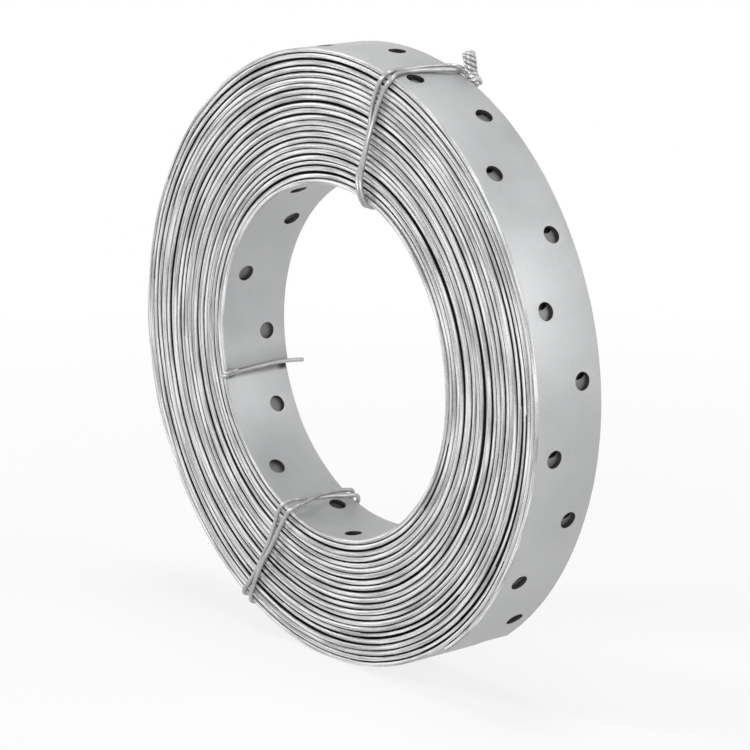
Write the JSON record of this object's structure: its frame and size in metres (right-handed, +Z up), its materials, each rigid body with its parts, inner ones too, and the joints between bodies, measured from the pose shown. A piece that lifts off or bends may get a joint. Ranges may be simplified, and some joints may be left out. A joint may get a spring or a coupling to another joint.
{
  "type": "mounting strap coil",
  "caption": "Coil of flat perforated galvanised steel mounting strap with two staggered rows of nail holes, held together by twisted tie wires.",
  "frame": {"origin": "bottom centre of the part: the lowest point of the rim, about the middle of the strap's width", "axes": "+Y along the coil's axis towards its back end, +Z up, the coil standing on its rim"},
  "size_m": [0.1908, 0.0332, 0.193],
  "materials": {
    "strap": "zinc-coated, satin",
    "tie_wire": "zinc-coated, drawn"
  },
  "bodies": {
    "root": {"strap_coil": "strap", "tie_wire_top": "tie_wire", "tie_wire_lower": "tie_wire", "tie_wire_left": "tie_wire"}
  },
  "joints": []
}
